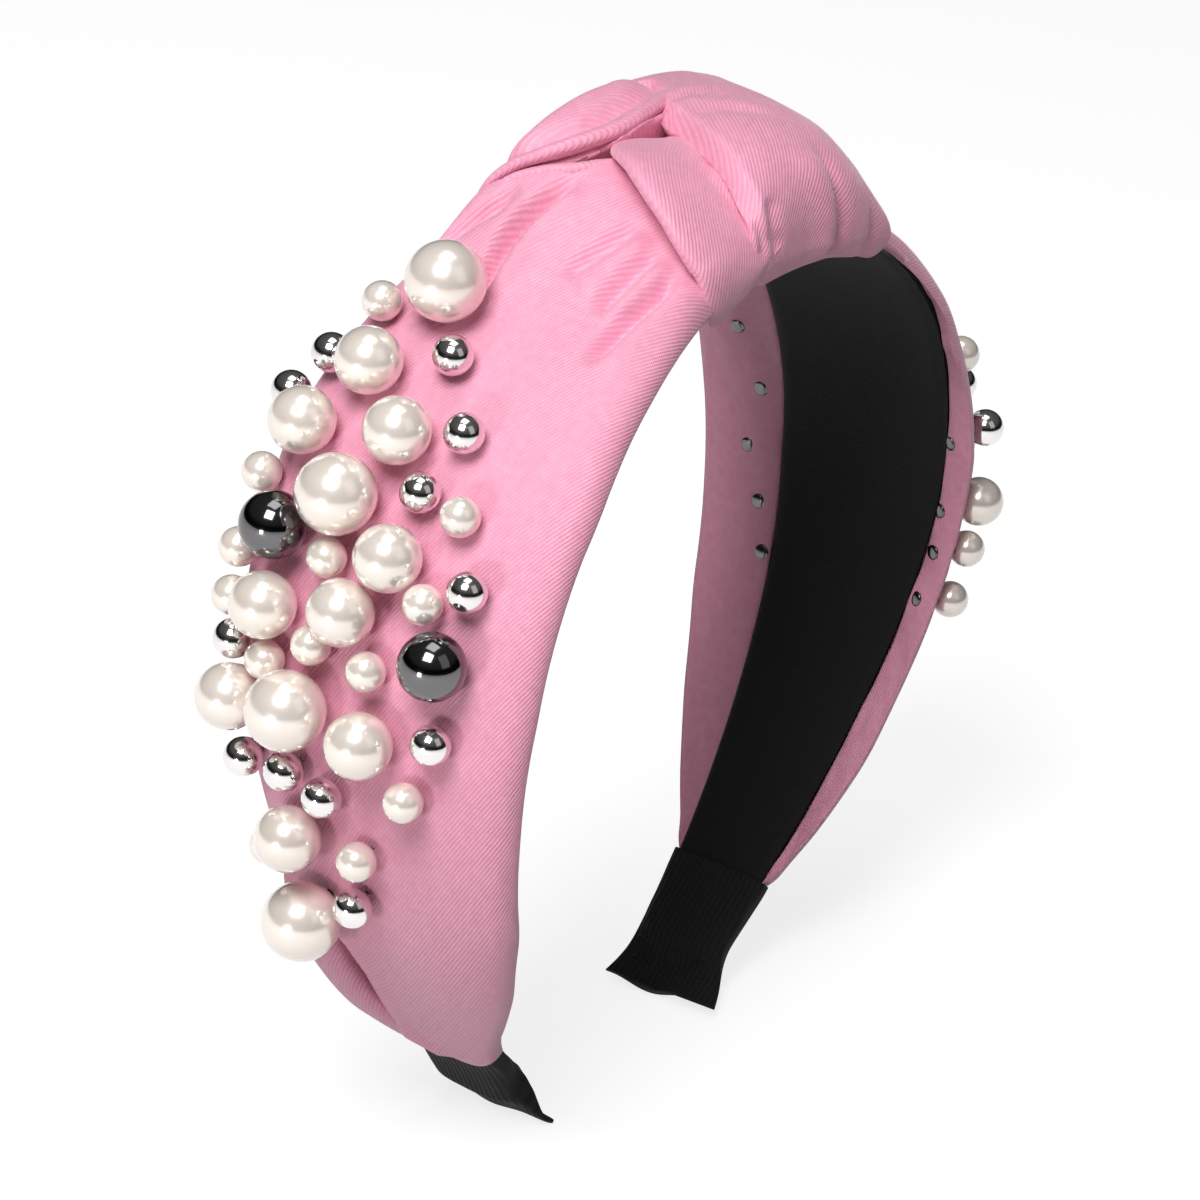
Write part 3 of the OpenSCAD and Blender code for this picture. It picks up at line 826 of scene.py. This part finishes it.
def cloth_roll(name, rows, folds=(), heart=(0, 4), body="crown"):
    """A flattened roll of cloth through rows of (s, y, off, half its width, its thickness)."""
    line = between(rows, ROLL_RINGS, 3)
    middle = place(line[:, 0], line[:, 1], line[:, 2])
    inside = place(line[:, 0], heart[0], heart[1])
    tangent = unit(np.gradient(middle, axis=0))
    out = unit(middle - inside)
    across = unit(np.cross(tangent, out))
    out = unit(np.cross(across, tangent))
    length = np.concatenate([[0], np.cumsum(np.linalg.norm(np.diff(middle, axis=0), axis=1))])
    t = np.linspace(0, 2 * math.pi, ROLL_SIDES + 1)[:-1]
    x = np.sign(np.cos(t)) * np.abs(np.cos(t)) ** 0.75
    z = np.sign(np.sin(t)) * np.abs(np.sin(t)) ** 0.8
    p = np.repeat(length[:, None], len(x), axis=1)
    q = line[:, 3:4] * x[None, :]
    push = 0.12 * noise(p, q + 40 * (z[None, :] < 0), 5, 31)
    for crease in folds:
        push = push + fold(p, q, **crease) * (z[None, :] > 0)
    lift = line[:, 4:5] / 2 * z[None, :] + push
    rings = middle[:, None, :] + q[..., None] * across[:, None, :] + lift[..., None] * out[:, None, :]
    around = np.concatenate([q, q[:, :1]], axis=1)
    obj = tube_mesh(name, rings, weave_uv(length, around))
    obj.data.materials.append(PINK)
    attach(obj, body)
    return obj


def knot():
    knot_wrap()
    strip = cloth_roll(
        "knot_crossing_fold",
        [(4, 5, 6.4, 4.0, 2.6), (-1.6, 2.6, 8.8, 5.6, 3.4), (-5.6, -0.6, 10.8, 7.6, 4.2),
         (-9.4, -7, 11, 9.6, 4.5), (-11.4, -13.5, 8.4, 10.4, 4.4), (-12, -18.6, 4.4, 10.2, 4),
         (-12, -20.4, 0.4, 9.4, 3.6),
         (-10, -18.5, -2.6, 8, 2.6), (-7, -14.5, -3.0, 6.5, 1.6)],
        folds=[dict(points=[(20, -2), (28, -3), (38, -4)], depth=0.6, width=1.1, lift=0.5)],
    )
    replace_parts(strip, "knot_left_loop")
    cloth_roll(
        "knot_lens_fold",
        [(-27, 17.4, 4.4, 0.5, 0.6), (-23, 17.2, 6.6, 1.0, 1.4), (-19.6, 15.0, 8.8, 1.4, 1.9),
         (-16.9, 10.8, 10.0, 1.5, 2.1), (-14.4, 6.4, 10.5, 1.3, 1.9), (-11.5, 4.2, 10.1, 1.0, 1.4),
         (-8, 3.2, 9.0, 0.7, 1.0)],
    )
    cloth_roll(
        "knot_slit_fold",
        [(-22.0, 19.4, 6.0, 0.4, 0.6), (-19.8, 17.8, 8.4, 1.3, 1.5), (-17.4, 14.8, 10.7, 1.9, 2.0),
         (-15.6, 11.9, 11.9, 2.2, 2.3), (-12.9, 9.3, 12.5, 2.4, 2.5), (-7.4, 6.9, 12.9, 2.7, 2.8),
         (-1, 7.0, 13.4, 2.8, 3.0), (6, 9.0, 12.6, 2.8, 2.8),
         (12, 11, 10.8, 2.0, 2.2)],
    )


# ---------------------------------------------------------------- beads and rivets
def lathe(profile, segments):
    """Points and faces of a profile of (radius, height) turned about +Z; it starts and ends on the axis."""
    points, faces = [], []
    rows = []
    for radius, height in profile:
        if radius < 1e-6:
            rows.append([len(points)])
            points.append((0, 0, height))
            continue
        rows.append(list(range(len(points), len(points) + segments)))
        for k in range(segments):
            angle = 2 * math.pi * k / segments
            points.append((radius * math.cos(angle), radius * math.sin(angle), height))
    for low, high in zip(rows[:-1], rows[1:]):
        for k in range(segments):
            n = (k + 1) % segments
            if len(low) == 1:
                faces.append((low[0], high[n], high[k]))
            elif len(high) == 1:
                faces.append((low[k], low[n], high[0]))
            else:
                faces.append((low[k], low[n], high[n], high[k]))
    return np.array(points), faces


def turned(name, parts, mat):
    """One object from (points, faces, place, axis) parts, each turned to its axis."""
    verts, faces = [], []
    for points, part_faces, centre, axis in parts:
        spin = np.array(Vector((0, 0, 1)).rotation_difference(Vector(axis)).to_matrix())
        faces += [tuple(i + len(verts) for i in f) for f in part_faces]
        verts += (points @ spin.T + centre).tolist()
    obj = make_mesh(name, verts, faces)
    fix_normals(obj)
    obj.data.materials.append(mat)
    return obj


def bead_profile(radius, bore):
    """A ball with a drilled seat at the bottom and a soft edge around the hole."""
    start = math.asin((bore + 0.12) / radius)
    arc = np.linspace(start, math.pi, 26 if radius > LARGE_R else 20)
    seat = [(0, -radius * 0.35), (bore, -radius * 0.35), (bore, -math.sqrt(radius**2 - bore**2) + 0.15)]
    return seat + [(radius * math.sin(t), -radius * math.cos(t)) for t in arc[:-1]] + [(0, radius)]


def rivet_profile(head_r, pin_r, depth):
    """From the head's dome, at height 0, to the pin's end inside the bead."""
    dome = [(head_r * math.sin(t), -0.32 * math.cos(t) + 0.05) for t in np.linspace(0, math.pi / 2, 7)]
    return dome + [(head_r, 0.28), (head_r - 0.12, 0.4), (pin_r, 0.42), (pin_r, depth), (0, depth)]


BEAD_FINISH = {
    "pearls": (PEARL, "pearl"),
    "silver": (SILVER, "silver_plating"),
    "gunmetal": (GUNMETAL, "gunmetal_plating"),
}


def beads(side):
    for kind in side_nodes(side):
        mat, slot_name = BEAD_FINISH[kind.split("_")[0]]
        parts = []
        for centre, radius, axis, _, this_kind in BEADS[side]:
            if this_kind == kind:
                size, segments = ("large", 56) if radius > LARGE_R else ("small", 40)
                points, faces = lathe(bead_profile(radius, BORE_R[size]), segments)
                parts.append((points, faces, centre, axis))
        obj = turned(f"{side}_{kind}_balls", parts, mat)
        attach(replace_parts(obj, f"{side}_{kind}"), f"{side}_arm")
    for size in PIN_R:
        parts = []
        for centre, radius, axis, depth, _ in BEADS[side]:
            if (radius > LARGE_R) == (size == "large"):
                head = centre - axis * depth
                along, across = nearest_place(side, head)
                if abs(across - hoop_y(along)) > core_half(along) + 1.4:
                    depth += float(offset_of(side, head) - margin_off(along, across)) + 0.1
                points, faces = lathe(rivet_profile(RIVET_HEAD_R, PIN_R[size], depth - radius * 0.4), 24)
                parts.append((points, faces, centre - axis * depth, axis))
        obj = turned(f"{side}_{size}_rivet_pins", parts, RIVET)
        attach(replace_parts(obj, f"{side}_{size}_rivets"), f"{side}_arm")


# ---------------------------------------------------------------- putting it together
for side in SIGN:
    cover(side)
    lining(side)
    tip(side)
    stitches(side)
    beads(side)
lower_fold()
knot()
for node in ("crown_core", "left_core", "right_core"):
    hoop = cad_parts[node]
    hoop.data.materials.clear()
    hoop.data.materials.append(PLASTIC)


# ---------------------------------------------------------------- floor, lights and camera
# The reference view, as the result of a least-squares fit: its axes, distance, lens and shift
AIM = Vector((0, MID_Y, 79.4)) * MM
TOWARDS_CAMERA = Vector((-0.75546, -0.48948, 0.43555))
CAMERA_RIGHT = Vector((0.57861, -0.81028, 0.09300))
CAMERA_UP = Vector((0.30739, 0.32227, 0.89535))
CAMERA_DISTANCE = 788.55 * MM
LENS, SENSOR = 154.76, 36
SHIFT = (-0.0304, 0.0021)
HEART_Z = 85
FLOOR_SIDE, FLOOR_GLOW, SKY_STRENGTH = 4000, 0.8, 0.12


def camera():
    data = bpy.data.cameras.new("camera")
    data.lens, data.sensor_width = LENS, SENSOR
    data.shift_x, data.shift_y = SHIFT
    obj = bpy.data.objects.new("camera", data)
    axes = Matrix((CAMERA_RIGHT, CAMERA_UP, TOWARDS_CAMERA)).transposed()
    obj.matrix_world = Matrix.Translation(AIM + TOWARDS_CAMERA * CAMERA_DISTANCE) @ axes.to_4x4()
    bpy.context.scene.collection.objects.link(obj)
    bpy.context.scene.camera = obj


def area_light(name, direction, distance, size, watts):
    """A softbox this far from the middle of the hoop, in this direction of the row frame."""
    direction = Vector(direction).normalized()
    data = bpy.data.lights.new(name, "AREA")
    data.shape, data.size, data.size_y = "RECTANGLE", size[0], size[1]
    data.energy = watts
    obj = bpy.data.objects.new(name, data)
    obj.location = Vector((0, MID_Y * MM, HEART_Z * MM)) + direction * distance
    obj.rotation_euler = direction.to_track_quat("Z", "Y").to_euler()
    bpy.context.scene.collection.objects.link(obj)


def floor():
    corners = [(x * FLOOR_SIDE, y * FLOOR_SIDE, 0) for x, y in ((-1, -1), (1, -1), (1, 1), (-1, 1))]
    obj = make_mesh("floor", corners, [(0, 1, 2, 3)])
    m, tree, shader = material("white sweep", (0.36, 0.36, 0.36), 0.9)
    seen = tree.nodes.new("ShaderNodeLightPath")
    direct = math_node(tree, "MAXIMUM", seen.outputs["Is Camera Ray"], seen.outputs["Is Glossy Ray"])
    glow = math_node(tree, "MULTIPLY", direct, FLOOR_GLOW)
    shader.inputs["Emission Color"].default_value = (1, 1, 1, 1)
    tree.links.new(glow, shader.inputs["Emission Strength"])
    obj.data.materials.append(m)


def sky():
    """A bright room: white overhead, with a dark band around the horizon for the plated beads."""
    world = bpy.data.worlds.new("studio")
    bpy.context.scene.world = world
    world.use_nodes = True
    tree = world.node_tree
    coords = tree.nodes.new("ShaderNodeTexCoord")
    split = tree.nodes.new("ShaderNodeSeparateXYZ")
    ramp = tree.nodes.new("ShaderNodeValToRGB")
    tree.links.new(coords.outputs["Generated"], split.inputs[0])
    tree.links.new(split.outputs[2], ramp.inputs[0])
    stops = [(0.0, 0.55), (0.02, 0.06), (0.24, 0.07), (0.42, 0.55), (1.0, 0.85)]
    elements = ramp.color_ramp.elements
    while len(elements) < len(stops):
        elements.new(0.5)
    for element, (position, value) in zip(elements, stops):
        element.position, element.color = position, (value, value, value, 1)
    background = tree.nodes["Background"]
    tree.links.new(ramp.outputs[0], background.inputs[0])
    background.inputs[1].default_value = SKY_STRENGTH


camera()
floor()
sky()
area_light("key", (-0.60, -0.12, 0.79), 0.9, (0.4, 0.4), 7.6)
area_light("fill", (-0.10, -0.86, 0.68), 1.0, (0.5, 0.7), 0.45)
area_light("top", (0.0, 0.05, 1.0), 1.0, (0.5, 0.5), 2.0)
area_light("side", (-0.99, 0.0, -0.06), 0.6, (0.1, 0.1), 0.75)
bpy.context.scene.view_settings.view_transform = "Standard"
bpy.context.scene.view_settings.look = "None"
